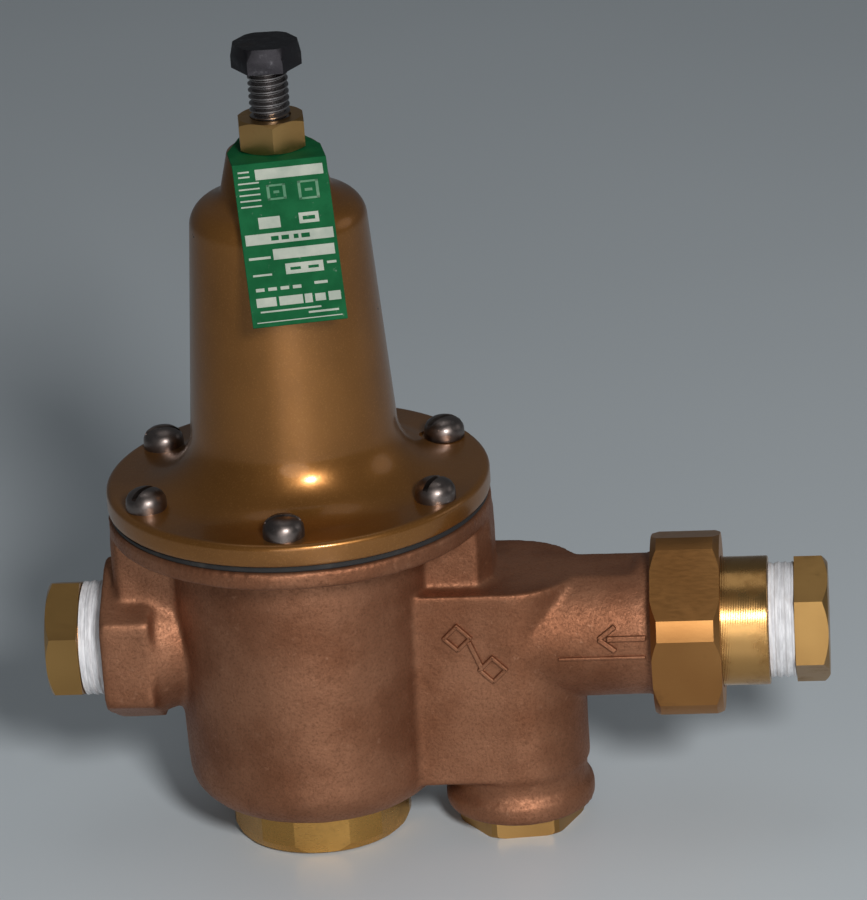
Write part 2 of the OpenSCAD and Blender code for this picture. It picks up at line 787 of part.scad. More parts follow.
module inlet_plug() {
    mirror([1, 0, 0]) plug_form(-tail_end_x, 51.5);
}

module inlet_tape() {
    mirror([1, 0, 0]) tape_form(-tail_end_x);
}

body();
spring_cage();
diaphragm();
flange_screws();
seat_ring();
seat_gasket();
range_spring();
outlet_plug();
outlet_tape();
stem();
stem_nut();
diaphragm_plate();
diaphragm_washer();
disc_holder();
seat_disc();
disc_retainer();
spring_button();
adjusting_screw();
lock_nut();
tag_plate();
cap_gasket();
bottom_cap();
strainer_screen();
strainer_gasket();
strainer_plug();
union_tailpiece();
union_gasket();
inlet_plug();
inlet_tape();
union_nut();
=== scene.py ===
"""The looks of a bronze pressure reducing valve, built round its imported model.

Lengths are metres. Z is the axis of the spring cage, the flow runs from +X
to -X, and the valve stands on Z = 0.
"""

import math

import bmesh
import bpy
from mathutils import Matrix, Vector, noise


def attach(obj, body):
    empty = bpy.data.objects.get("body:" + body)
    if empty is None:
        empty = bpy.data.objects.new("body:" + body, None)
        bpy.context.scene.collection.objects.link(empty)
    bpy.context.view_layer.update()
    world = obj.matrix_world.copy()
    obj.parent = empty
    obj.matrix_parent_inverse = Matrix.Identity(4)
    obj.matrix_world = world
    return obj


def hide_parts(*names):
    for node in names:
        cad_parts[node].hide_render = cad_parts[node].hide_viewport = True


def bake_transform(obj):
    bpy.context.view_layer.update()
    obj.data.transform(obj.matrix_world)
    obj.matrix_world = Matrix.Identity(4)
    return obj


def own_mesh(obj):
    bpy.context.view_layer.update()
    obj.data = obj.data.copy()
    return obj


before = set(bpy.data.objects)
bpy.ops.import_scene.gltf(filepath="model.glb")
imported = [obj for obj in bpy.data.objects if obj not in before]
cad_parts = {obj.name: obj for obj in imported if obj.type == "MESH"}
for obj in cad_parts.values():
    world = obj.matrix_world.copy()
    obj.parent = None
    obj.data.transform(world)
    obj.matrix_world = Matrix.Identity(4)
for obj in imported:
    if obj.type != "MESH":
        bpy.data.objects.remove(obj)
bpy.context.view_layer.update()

MM = 0.001
PORT_Z = 50 * MM
LEG_X = 49 * MM
SCREW_CIRCLE = 39.52 * MM
FIRST_SCREW = math.radians(-89)
BRONZE_DARK = (0.080, 0.028, 0.013)
BRONZE_MID = (0.225, 0.088, 0.042)
BRONZE_LIGHT = (0.335, 0.152, 0.082)


# ------------------------------------------------------------ shader maths

class Wire:
    """A value or colour that runs between the nodes of a finish."""

    def __init__(self, finish, socket):
        self.finish = finish
        self.socket = socket

    def math(self, operation, first, second=0.0):
        return self.finish.node("ShaderNodeMath", {"operation": operation}, {0: first, 1: second})

    def __add__(self, other):
        return self.math("ADD", self, other)

    def __sub__(self, other):
        return self.math("SUBTRACT", self, other)

    def __rsub__(self, other):
        return self.math("SUBTRACT", other, self)

    def __mul__(self, other):
        return self.math("MULTIPLY", self, other)

    def __truediv__(self, other):
        return self.math("DIVIDE", self, other)

    __radd__ = __add__
    __rmul__ = __mul__

    def sine(self):
        return self.math("SINE", self)

    def fade(self, low, high, start=0.0, end=1.0):
        """start below low, end above high, with a smooth change between them."""
        values = {"Value": self, "From Min": low, "From Max": high, "To Min": start, "To Max": end}
        return self.finish.node("ShaderNodeMapRange", {"interpolation_type": "SMOOTHSTEP"}, values)


class Finish:
    """A material under construction, on the Principled shader."""

    def __init__(self, name, **constants):
        self.material = bpy.data.materials.new(name)
        self.material.use_nodes = True
        self.tree = self.material.node_tree
        self.shader = self.tree.nodes["Principled BSDF"]
        for socket, value in constants.items():
            self.set(socket.replace("_", " "), value)

    def node(self, kind, settings=None, values=None, output=0):
        made = self.tree.nodes.new(kind)
        for key, setting in (settings or {}).items():
            if key == "stops":
                self.set_stops(made.color_ramp, setting)
            else:
                setattr(made, key, setting)
        for key, value in (values or {}).items():
            self.feed(made.inputs[key], value)
        return Wire(self, made.outputs[output])

    def set_stops(self, ramp, stops):
        while len(ramp.elements) < len(stops):
            ramp.elements.new(0.5)
        for element, (place, colour) in zip(ramp.elements, stops):
            element.position = place
            element.color = (*colour, 1.0)

    def feed(self, socket, value):
        if isinstance(value, Wire):
            self.tree.links.new(value.socket, socket)
        elif socket.type == "RGBA" and len(value) == 3:
            socket.default_value = (*value, 1.0)
        else:
            socket.default_value = value

    def set(self, name, value):
        self.feed(self.shader.inputs[name], value)

    def place(self, kind="Object"):
        return self.node("ShaderNodeTexCoord", output=kind)

    def axes(self, vector):
        return [self.node("ShaderNodeSeparateXYZ", None, {0: vector}, i) for i in range(3)]

    def noise(self, scale, detail=3.0, roughness=0.55, vector=None, **values):
        values = {"Scale": scale, "Detail": detail, "Roughness": roughness, **values}
        return self.node("ShaderNodeTexNoise", None, {"Vector": vector or self.place(), **values})

    def cells(self, scale, vector=None):
        return self.node("ShaderNodeTexVoronoi", None, {"Vector": vector or self.place(), "Scale": scale})

    def mix(self, factor, first, second, blend="MIX"):
        settings = {"data_type": "RGBA", "blend_type": blend}
        return self.node("ShaderNodeMix", settings, {0: factor, 6: first, 7: second}, 2)

    def stretch(self, scale):
        return self.node("ShaderNodeMapping", None, {"Vector": self.place(), "Scale": scale})

    def bump(self, height, distance, strength=1.0, under=None):
        values = {"Height": height, "Distance": distance, "Strength": strength}
        if under is not None:
            values["Normal"] = under
        return self.node("ShaderNodeBump", None, values)


def cast_bronze():
    """Sand-cast bronze, tumbled: fine grain, darker in the pits and drifts of colour."""
    skin = Finish("cast_bronze", Metallic=0.80)
    drift = skin.noise(42, 4.0, 0.6)
    grain = skin.noise(1500, 5.0, 0.7)
    pits = skin.cells(620)
    speck = skin.noise(520, 4.0, 0.65)
    colour = skin.mix(drift.fade(0.32, 0.68), BRONZE_MID, BRONZE_LIGHT)
    colour = skin.mix(grain.fade(0.28, 0.56, 0.42, 0.0), colour, BRONZE_DARK)
    colour = skin.mix(speck.fade(0.60, 0.74, 0.0, 0.45), colour, (0.43, 0.22, 0.13))
    skin.set("Base Color", colour)
    skin.set("Roughness", grain.fade(0.3, 0.7, 0.62, 0.44))
    height = grain * 0.55 + speck * 0.3 + pits * 0.25
    skin.set("Normal", skin.bump(height, 0.00022, 0.85))
    return skin.material


def cage_paint():
    """Bronze-coloured gloss paint over a casting, with a few dark chips."""
    paint = Finish("cage_paint", Metallic=0.72)
    drift = paint.noise(30, 3.0, 0.5)
    flake = paint.noise(2600, 2.0, 0.6)
    chips = paint.noise(150, 3.0, 0.6)
    bare = chips.fade(0.735, 0.75)
    colour = paint.mix(drift.fade(0.3, 0.7), (0.215, 0.086, 0.016), (0.285, 0.118, 0.024))
    colour = paint.mix(flake.fade(0.52, 0.72, 0.0, 0.35), colour, (0.42, 0.20, 0.055))
    colour = paint.mix(bare, colour, (0.03, 0.016, 0.010))
    paint.set("Base Color", colour)
    paint.set("Roughness", drift.fade(0.3, 0.7, 0.30, 0.38) + bare * 0.3)
    paint.set("Coat Weight", 0.35)
    paint.set("Coat Roughness", 0.12)
    peel = paint.noise(330, 2.0, 0.5) * 0.5 + paint.noise(90, 2.0, 0.5)
    paint.set("Normal", paint.bump(peel - bare * 0.8, 0.00030, 0.30))
    return paint.material


def machined_brass(name, light, dark, roughness, stains=0.4):
    """Bar brass as it left the saw and the lathe, handled and a little stained."""
    brass = Finish(name, Metallic=1.0)
    stain = brass.noise(120, 5.0, 0.65)
    marks = brass.noise(1.0, 3.0, 0.6, brass.stretch((380, 2200, 2200)))
    smear = brass.noise(34, 2.0, 0.5)
    colour = brass.mix(smear.fade(0.3, 0.7), dark, light)
    colour = brass.mix(stain.fade(0.55, 0.75, 0.0, stains), colour, (0.16, 0.085, 0.032))
    brass.set("Base Color", colour)
    brass.set("Roughness", marks.fade(0.3, 0.7, roughness - 0.03, roughness + 0.04) + stain.fade(0.5, 0.8) * 0.15)
    brass.set("Normal", brass.bump(marks * 0.3 + stain * 0.5, 0.00003, 0.7))
    return brass.material


def turned_brass(name, light, dark, roughness, pitch, axis, centre=(0.0, 0.0, 0.0)):
    """Brass with the fine rings that a lathe tool leaves round an axis."""
    brass = Finish(name, Metallic=1.0)
    moved = brass.node("ShaderNodeMapping", None, {"Vector": brass.place(), "Location": [-c for c in centre]})
    along = brass.axes(moved)[axis]
    rings = (along * (2 * math.pi / pitch)).sine()
    stain = brass.noise(150, 4.0, 0.6)
    colour = brass.mix(stain.fade(0.45, 0.75), light, dark)
    brass.set("Base Color", colour)
    brass.set("Roughness", stain.fade(0.35, 0.75, roughness, roughness + 0.12))
    brass.set("Normal", brass.bump(rings * 0.5 + brass.noise(900, 2.0) * 0.6, 0.00002, 0.8))
    return brass.material


def blued_steel(name, base, roughness, metallic=1.0):
    """Steel with an oil-dark or dull plated skin, worn bright in spots."""
    steel = Finish(name, Metallic=metallic)
    wear = steel.noise(420, 4.0, 0.65)
    haze = steel.noise(90, 3.0, 0.55)
    bright = tuple(min(1.0, 2.2 * c + 0.05) for c in base)
    colour = steel.mix(wear.fade(0.56, 0.76, 0.0, 0.6), base, bright)
    colour = steel.mix(haze.fade(0.55, 0.75, 0.0, 0.35), colour, (0.06, 0.038, 0.026))
    steel.set("Base Color", colour)
    steel.set("Roughness", wear.fade(0.3, 0.7, roughness + 0.1, roughness - 0.04))
    steel.set("Normal", steel.bump(wear + steel.noise(1800, 2.0) * 0.4, 0.00004, 0.7))
    return steel.material


def rubber():
    """Black fabric-faced rubber."""
    sheet = Finish("black_rubber", Roughness=0.72)
    weave = sheet.noise(1300, 3.0, 0.6)
    dust = sheet.noise(140, 4.0, 0.6)
    sheet.set("Base Color", sheet.mix(dust.fade(0.5, 0.8, 0.0, 0.6), (0.012, 0.011, 0.011), (0.05, 0.045, 0.04)))
    sheet.set("Normal", sheet.bump(weave, 0.00008, 0.8))
    return sheet.material


def thread_tape():
    """White sealing tape: thin, slightly see-through at the edges, with a soft sheen and painted shade in the
    creases of its folds.
    """
    tape = Finish("thread_tape", Roughness=0.42)
    shaded_folds = tape.noise(1.0, 3.0, 0.6, tape.stretch((1500, 260, 260)))
    dirt = tape.noise(240, 4.0, 0.6)
    # painted shade: the colour is lighter on the raised folds and darker in the creases between them
    colour = tape.mix(shaded_folds.fade(0.35, 0.65), (0.62, 0.61, 0.62), (0.78, 0.77, 0.78))
    tape.set("Base Color", tape.mix(dirt.fade(0.62, 0.8, 0.0, 0.35), colour, (0.55, 0.50, 0.46)))
    tape.set("Subsurface Weight", 0.15)
    tape.set("Subsurface Radius", (0.002, 0.002, 0.002))
    tape.set("Normal", tape.bump(shaded_folds, 0.00018, 0.9))
    return tape.material


def tag_enamel(name, low, high, roughness):
    """Printed enamel on sheet aluminium, rubbed in use."""
    enamel = Finish(name, Roughness=roughness)
    cloud = enamel.noise(160, 4.0, 0.6)
    rub = enamel.noise(700, 4.0, 0.7)
    colour = enamel.mix(cloud.fade(0.3, 0.7), low, high)
    enamel.set("Base Color", enamel.mix(rub.fade(0.64, 0.78, 0.0, 0.5), colour, (0.30, 0.36, 0.30)))
    enamel.set("Specular IOR Level", 0.12)
    enamel.set("Normal", enamel.bump(cloud + rub * 0.3, 0.00006, 0.6))
    return enamel.material


bronze = cast_bronze()
paint = cage_paint()
satin_brass = machined_brass("satin_brass", (0.46, 0.225, 0.075), (0.36, 0.165, 0.052), 0.40)
plug_brass = machined_brass("plug_brass", (0.46, 0.265, 0.090), (0.34, 0.185, 0.062), 0.32)
cap_brass = machined_brass("cap_brass", (0.60, 0.335, 0.095), (0.42, 0.22, 0.062), 0.28)
nut_brass = machined_brass("nut_brass", (0.56, 0.34, 0.130), (0.40, 0.22, 0.075), 0.34)
bright_brass = turned_brass("bright_brass", (0.58, 0.325, 0.115), (0.40, 0.205, 0.065), 0.20, 0.0004, 0)
inner_brass = turned_brass("inner_brass", (0.72, 0.48, 0.200), (0.52, 0.32, 0.130), 0.26, 0.0003, 2)
machined_bronze = turned_brass("machined_bronze", (0.56, 0.31, 0.165), (0.40, 0.20, 0.10), 0.33, 0.0003, 0)
dark_steel = blued_steel("dark_steel", (0.040, 0.037, 0.041), 0.42)
thread_steel = blued_steel("thread_steel", (0.22, 0.20, 0.195), 0.27)
screw_steel = blued_steel("screw_steel", (0.20, 0.165, 0.15), 0.34)
spring_steel = blued_steel("spring_steel", (0.13, 0.13, 0.14), 0.36)
plate_steel = blued_steel("plate_steel", (0.45, 0.45, 0.46), 0.36)
mesh_steel = blued_steel("mesh_steel", (0.50, 0.50, 0.51), 0.28)
black_rubber = rubber()
white_tape = thread_tape()
green_enamel = tag_enamel("green_enamel", (0.001, 0.075, 0.022), (0.005, 0.105, 0.034), 0.68)
white_enamel = tag_enamel("white_enamel", (0.33, 0.37, 0.31), (0.44, 0.46, 0.39), 0.7)
faint_enamel = tag_enamel("faint_enamel", (0.07, 0.20, 0.11), (0.16, 0.28, 0.18), 0.7)


# ---------------------------------------------------------------- modelling

def copy_of(node):
    """A bmesh copy of a CAD node, with its loose triangles merged and its flats made whole."""
    bm = bmesh.new()
    bm.from_mesh(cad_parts[node].data)
    bmesh.ops.remove_doubles(bm, verts=bm.verts, dist=2e-6)
    bmesh.ops.dissolve_limit(bm, angle_limit=math.radians(0.6), verts=bm.verts, edges=bm.edges)
    return bm


def make(name, bm, material, sharp=32):
    """Turns a bmesh into an object that is smooth up to its sharp edges."""
    mesh = bpy.data.meshes.new(name)
    bm.to_mesh(mesh)
    bm.free()
    mesh.shade_smooth()
    mesh.set_sharp_from_angle(angle=math.radians(sharp))
    mesh.materials.append(material)
    piece = bpy.data.objects.new(name, mesh)
    bpy.context.scene.collection.objects.link(piece)
    return piece


def fit(piece, body, slot, *nodes):
    """The piece moves with a body and stands for CAD nodes, which are hidden. The slot argument is not used."""
    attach(piece, body)
    if nodes:
        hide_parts(*nodes)
    return piece


def round_edges(piece, width, segments=2, angle=32):
    """A small rounded edge wherever two faces meet at more than the angle."""
    soft = piece.modifiers.new("edges", "BEVEL")
    soft.width = width
    soft.segments = segments
    soft.limit_method = "ANGLE"
    soft.angle_limit = math.radians(angle)
    soft.harden_normals = True
    soft.miter_outer = "MITER_ARC"
    return piece


def turned(points, steps=96):
    """A closed profile of (radius, height) points, spun round Z."""
    bm = bmesh.new()
    verts = [bm.verts.new((r, 0, z)) for r, z in points]
    edges = [bm.edges.new((a, b)) for a, b in zip(verts, verts[1:] + verts[:1])]
    bmesh.ops.spin(bm, geom=verts + edges, cent=(0, 0, 0), axis=(0, 0, 1), dvec=(0, 0, 0),
                   angle=2 * math.pi, steps=steps, use_merge=True)
    tidy(bm)
    return bm


def tidy(bm):
    bmesh.ops.remove_doubles(bm, verts=bm.verts, dist=2e-6)
    bmesh.ops.dissolve_degenerate(bm, dist=1e-7, edges=bm.edges)
    bmesh.ops.recalc_face_normals(bm, faces=bm.faces)


def round_corner(centre, radius, start, end, steps=6):
    """Points on an arc, with its angles in degrees."""
    angles = [math.radians(start + (end - start) * i / steps) for i in range(steps + 1)]
    return [(centre[0] + radius * math.cos(a), centre[1] + radius * math.sin(a)) for a in angles]


def threaded_rod(start, end, radius, pitch, depth, steps=48):
    """A rod along Z with one right-hand thread, both ends cut square and eased."""
    bm = bmesh.new()
    turns = math.ceil((end - start) / pitch) + 2
    root = radius - depth
    points = []
    for turn in range(turns):
        foot = start + (turn - 1.5) * pitch
        points += [(root, foot), (radius, foot + 0.36 * pitch), (radius, foot + 0.54 * pitch),
                   (root, foot + 0.9 * pitch)]
    verts = [bm.verts.new((r, 0, z)) for r, z in points]
    edges = [bm.edges.new(pair) for pair in zip(verts, verts[1:])]
    bmesh.ops.spin(bm, geom=verts + edges, cent=(0, 0, 0), axis=(0, 0, 1),
                   dvec=(0, 0, pitch / steps), angle=2 * math.pi, steps=steps)
    bmesh.ops.remove_doubles(bm, verts=bm.verts, dist=2e-6)
    for height, keep in ((start, -1), (end, 1)):
        bmesh.ops.bisect_plane(bm, geom=bm.verts[:] + bm.edges[:] + bm.faces[:], dist=1e-7,
                               plane_co=(0, 0, height), plane_no=(0, 0, keep), clear_outer=True)
    rims = [e for e in bm.edges if e.is_boundary]
    bmesh.ops.holes_fill(bm, edges=rims, sides=0)
    for vert in bm.verts:
        inset = min(vert.co.z - start, end - vert.co.z)
        limit = root + 0.9 * inset
        reach = math.hypot(vert.co.x, vert.co.y)
        if reach > limit:
            vert.co.x *= limit / reach
            vert.co.y *= limit / reach
    bmesh.ops.recalc_face_normals(bm, faces=bm.faces)
    return bm


def moved(bm, matrix):
    bmesh.ops.transform(bm, matrix=matrix, verts=bm.verts)
    return bm


def along_x(bm, x, z=PORT_Z):
    """Lays a piece made along Z on the axis of the ports, with its foot at x."""
    return moved(bm, Matrix.Translation((x, 0, z)) @ Matrix.Rotation(math.pi / 2, 4, "Y"))


def joined(*parts):
    """Several bmeshes in one."""
    whole = bmesh.new()
    for part in parts:
        carrier = bpy.data.meshes.new("carrier")
        part.to_mesh(carrier)
        whole.from_mesh(carrier)
        part.free()
        bpy.data.meshes.remove(carrier)
    return whole


def cut_away(piece, cutter_bm, sharp=32):
    """Cuts the cutter's shape out of the piece for good."""
    cutter = make("cutter", cutter_bm, bronze)
    cut = piece.modifiers.new("cut", "BOOLEAN")
    cut.operation = "DIFFERENCE"
    cut.solver = "EXACT"
    cut.object = cutter
    settle(piece)
    bpy.data.objects.remove(cutter)
    piece.data.shade_smooth()
    piece.data.set_sharp_from_angle(angle=math.radians(sharp))
    return piece


def settle(piece):
    """Makes the modifiers' result the piece's own mesh."""
    bpy.context.view_layer.update()
    seen = piece.evaluated_get(bpy.context.evaluated_depsgraph_get())
    mesh = bpy.data.meshes.new_from_object(seen)
    mesh.name = piece.name
    piece.modifiers.clear()
    old = piece.data
    piece.data = mesh
    bpy.data.meshes.remove(old)
    return piece


def cylinder(x, y, low, high, radius, steps=40):
    """A closed cylinder that stands on Z."""
    bm = bmesh.new()
    bmesh.ops.create_cone(bm, cap_ends=True, segments=steps, radius1=radius, radius2=radius,
                          depth=high - low)
    return moved(bm, Matrix.Translation((x, y, (low + high) / 2)))


def block(size, place, turn=0.0):
    """A box of a given size, turned about its own Z and set down at a place."""
    bm = bmesh.new()
    bmesh.ops.create_cube(bm, size=1.0)
    return moved(bm, Matrix.Translation(place) @ Matrix.Rotation(turn, 4, "Z") @ Matrix.Diagonal((*size, 1)))


def screw_places():
    """The middle of each flange screw and the angle that it stands at."""
    for i in range(6):
        angle = FIRST_SCREW + i * math.pi / 3
        yield SCREW_CIRCLE * math.cos(angle), SCREW_CIRCLE * math.sin(angle), angle


def finish_nodes(material, slot_free_nodes):
    """Gives CAD nodes that stay as they are a proper finish."""
    for name in slot_free_nodes:
        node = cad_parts[name]
        node.data.materials.clear()
        node.data.materials.append(material)


# ------------------------------------------------------------------ the body

def casting():
    """The valve body: every outer and inner corner softened as a sand casting's is."""
    bm = copy_of("body")
    piece = make("valve_casting", bm, bronze)
    skin = piece.modifiers.new("skin", "REMESH")
    skin.mode = "VOXEL"
    skin.voxel_size = 0.00078
    settle(piece)
    soften(piece.data)
    piece.data.shade_smooth()
    if not piece.data.materials:
        piece.data.materials.append(bronze)
    return fit(piece, "valve_body", "cast_bronze", "body")


def is_machined(co):
    """True where a tool has cut the casting, so that it stays crisp."""
    top_face = co.z > 84.2 * MM
    spigot = co.x > 82 * MM
    mouth = co.x < -47.7 * MM and abs(co.z - PORT_Z) < 17 * MM
    foot = co.z < 5.5 * MM
    return top_face or spigot or mouth or foot


def soften(mesh):
    """Rounds the cast corners and gives the skin its slight unevenness."""
    bm = bmesh.new()
    bm.from_mesh(mesh)
    cast = [v for v in bm.verts if not is_machined(v.co)]
    for _ in range(3):
        bmesh.ops.smooth_vert(bm, verts=cast, factor=0.5, use_axis_x=True, use_axis_y=True, use_axis_z=True)
    bm.normal_update()
    for vert in cast:
        swell = noise.noise(vert.co * 95) * 0.16 + noise.noise(vert.co * 330) * 0.07
        vert.co += vert.normal * swell * MM
    bm.to_mesh(mesh)
    bm.free()


def cast_marks():
    """Raised shapes from the pattern: two lozenges and a bar on the box, an arrow and a seam on the neck."""
    face_y = -17.2 * MM
    box = [lozenge((37.3 * MM, face_y, 55.0 * MM)), lozenge((45.4 * MM, face_y, 46.6 * MM))]
    box.append(bar((1.3 * MM, 1.9 * MM, 7.5 * MM), (41.4 * MM, face_y, 50.6 * MM), math.radians(-22)))
    marks = round_edges(make("cast_size_mark", joined(*box), bronze), 0.0004, 3)
    fit(marks, "valve_body", "cast_bronze")
    shaft = bar((9.5 * MM, 1.5 * MM, 1.5 * MM), (77.5 * MM, -17.0 * MM, 0), 0)
    barbs = [bar((5.2 * MM, 1.5 * MM, 1.4 * MM), (72.9 * MM, -16.9 * MM, side * 1.5 * MM), -side * 0.65)
             for side in (-1, 1)]
    arrow = moved(joined(shaft, *barbs), Matrix.Translation((0, 0, PORT_Z)) @ Matrix.Rotation(-0.20, 4, "X"))
    fit(round_edges(make("cast_flow_arrow", arrow, bronze), 0.0004, 3), "valve_body", "cast_bronze")
    seam = bar((21 * MM, 1.5 * MM, 0.9 * MM), (71.5 * MM, -16.75 * MM, 48.6 * MM), 0)
    fit(round_edges(make("cast_seam", seam, bronze), 0.00035, 3), "valve_body", "cast_bronze")


def bar(size, place, lean):
    """A box of a given size, leant over in the plane of the front and set down at a place."""
    bm = bmesh.new()
    bmesh.ops.create_cube(bm, size=1.0)
    turn = Matrix.Rotation(lean, 4, "Y")
    return moved(bm, Matrix.Translation(place) @ turn @ Matrix.Diagonal((*size, 1)))


def lozenge(place):
    """A hollow diamond made of four short bars."""
    sides = []
    for i in range(4):
        turn = math.pi / 4 + i * math.pi / 2
        edge = bar((5.4 * MM, 1.9 * MM, 1.1 * MM), (0, 0, 2.2 * MM), 0)
        sides.append(moved(edge, Matrix.Translation(place) @ Matrix.Rotation(turn, 4, "Y")))
    return joined(*sides)


def union_spigot():
    """The thread that the union nut runs on, cut on the end of the neck."""
    bm = threaded_rod(0.0, 10.4 * MM, 17.83 * MM, 2.209 * MM, 1.0 * MM)
    piece = make("union_thread", along_x(bm, 82.7 * MM), machined_bronze)
    cut_away(piece, along_x(cylinder(0, 0, -1 * MM, 12 * MM, 10.05 * MM, 64), 82.7 * MM))
    return fit(piece, "valve_body", "cast_bronze")


# ------------------------------------------------------------ cage and flange

def spring_cage():
    """The painted cage with its bolted flange, flare, shoulder and threaded neck."""
    inner = [(31.0, 86.5), (31.0, 88.7)]
    inner += round_corner((38.6, 106), 17.5, 244.3, 180, 10)
    inner += [(17.5, 155.6), (13.5, 160.6), (4.9, 160.6), (4.9, 173.5)]
    outer = round_corner((10.3, 172.9), 0.7, 90, 8, 3)
    outer += [(13.0, 164.4), (13.9, 163.1), (16.4, 161.8)]
    outer += round_corner((14.5, 155.6), 6.5, 58, 0, 8)
    outer += round_corner((38.6, 106), 14.0, 180, 266, 16)
    outer += [(44.2, 92.0)] + round_corner((44.6, 90.6), 1.4, 80, 0, 5) + [(46.0, 88.2)]
    outer += round_corner((45.3, 87.2), 0.7, 0, -90, 3)
    profile = [(r * MM, z * MM) for r, z in inner + outer]
    piece = make("cage", turned(profile, 128), paint)
    pockets = []
    for x, y, _ in screw_places():
        pockets.append(cylinder(x, y, 91.7 * MM, 104 * MM, 6.2 * MM))
        pockets.append(cylinder(x, y, 80 * MM, 95 * MM, 3.42 * MM))
    cut_away(piece, joined(*pockets))
    round_edges(piece, 0.0005, 3)
    return fit(piece, "valve_body", "cage_paint", "spring_cage")


def diaphragm():
    """The clamped rim, the middle that rides with the stem, and the ring between them, cut into twelve sectors."""
    top = 86.48 * MM
    foot = 85.02 * MM
    eased = 0.4 * MM
    edge = 45.5 * MM
    rim = [(28.4 * MM, foot), (edge - eased, foot), (edge, foot + eased), (edge, top - eased),
           (edge - eased, top), (28.4 * MM, top)]
    piece = make("diaphragm_rim", turned(rim, 128), black_rubber)
    fit(piece, "valve_body", "rubber", "diaphragm")
    middle = [(4.1 * MM, foot), (21.9 * MM, foot), (21.9 * MM, top), (4.1 * MM, top)]
    fit(make("diaphragm_middle", turned(middle, 96), black_rubber), "stem_group", "rubber", "diaphragm")
    ring = [(21.8 * MM, foot), (28.5 * MM, foot), (28.5 * MM, top), (21.8 * MM, top)]
    for i in range(12):
        heading = math.radians(15 + 30 * i)
        piece = make("diaphragm_ring_" + str(i), sector(turned(ring, 96), heading), black_rubber)
        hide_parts("diaphragm")
        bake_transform(piece)


def sector(bm, heading):
    """Keeps the 30 degrees of a ring round a heading, with its two cut ends closed."""
    for side in (-1, 1):
        turn = heading + side * math.radians(15)
        outwards = (-side * math.sin(turn), side * math.cos(turn), 0)
        bmesh.ops.bisect_plane(bm, geom=bm.verts[:] + bm.edges[:] + bm.faces[:], dist=1e-7,
                               plane_co=(0, 0, 0), plane_no=outwards, clear_outer=True)
    bmesh.ops.holes_fill(bm, edges=[e for e in bm.edges if e.is_boundary], sides=0)
    bmesh.ops.recalc_face_normals(bm, faces=bm.faces)
    return bm


def flange_screw_set():
    """Six domed slotted screws, each with its slot turned another way."""
    slots = [8, 62, 35, 88, 12, 55]
    parts = []
    for (x, y, angle), turn in zip(screw_places(), slots):
        dome = [(0, 97.1), (1.6, 97.0), (3.0, 96.55), (4.1, 95.75), (4.75, 94.6), (4.9, 93.6), (4.9, 92.0), (4.7, 91.72),
                (3.17, 91.72), (3.17, 79.9), (2.6, 79.6), (0, 79.6)]
        bm = turned([(r * MM, z * MM) for r, z in dome], 40)
        piece = make("one_screw", bm, screw_steel)
        cut_away(piece, block((12 * MM, 1.3 * MM, 4.2 * MM), (0, 0, 97.4 * MM), math.radians(turn)))
        done = bmesh.new()
        done.from_mesh(piece.data)
        bpy.data.objects.remove(piece)
        parts.append(moved(done, Matrix.Translation((x, y, 0))))
    piece = round_edges(make("flange_screw_heads", joined(*parts), screw_steel), 0.00022, 2)
    return fit(piece, "valve_body", "screw_steel", "flange_screws")


# ------------------------------------------------------- screw, nut and tag

def adjusting_screw():
    """The head is a forged hexagon with a domed top, on a rolled thread."""
    head = copy_of("adjusting_screw")
    bmesh.ops.bisect_plane(head, geom=head.verts[:] + head.edges[:] + head.faces[:], dist=1e-7,
                           plane_co=(0, 0, 193.7 * MM), plane_no=(0, 0, -1), clear_outer=True)
    bmesh.ops.holes_fill(head, edges=[e for e in head.edges if e.is_boundary], sides=0)
    crown = round_edges(make("adjusting_screw_head", head, dark_steel), 0.0004, 3)
    fit(crown, "screw", "dark_steel", "adjusting_screw")
    rod = threaded_rod(147.7 * MM, 193.9 * MM, 4.75 * MM, 1.5875 * MM, 0.85 * MM)
    fit(make("adjusting_screw_thread", rod, thread_steel), "screw", "dark_steel")


def lock_nut():
    piece = round_edges(make("lock_nut_hex", copy_of("lock_nut"), nut_brass, 12), 0.0003, 3, 12)
    return fit(piece, "nut", "brass", "lock_nut")


TAG_TURN = math.radians(13)
TAG_BEND = Vector((0, -11.8 * MM, 174.2 * MM))
TAG_LEAN = math.radians(33.2)
TAG_SIZE = Vector((22 * MM, 38.85 * MM))


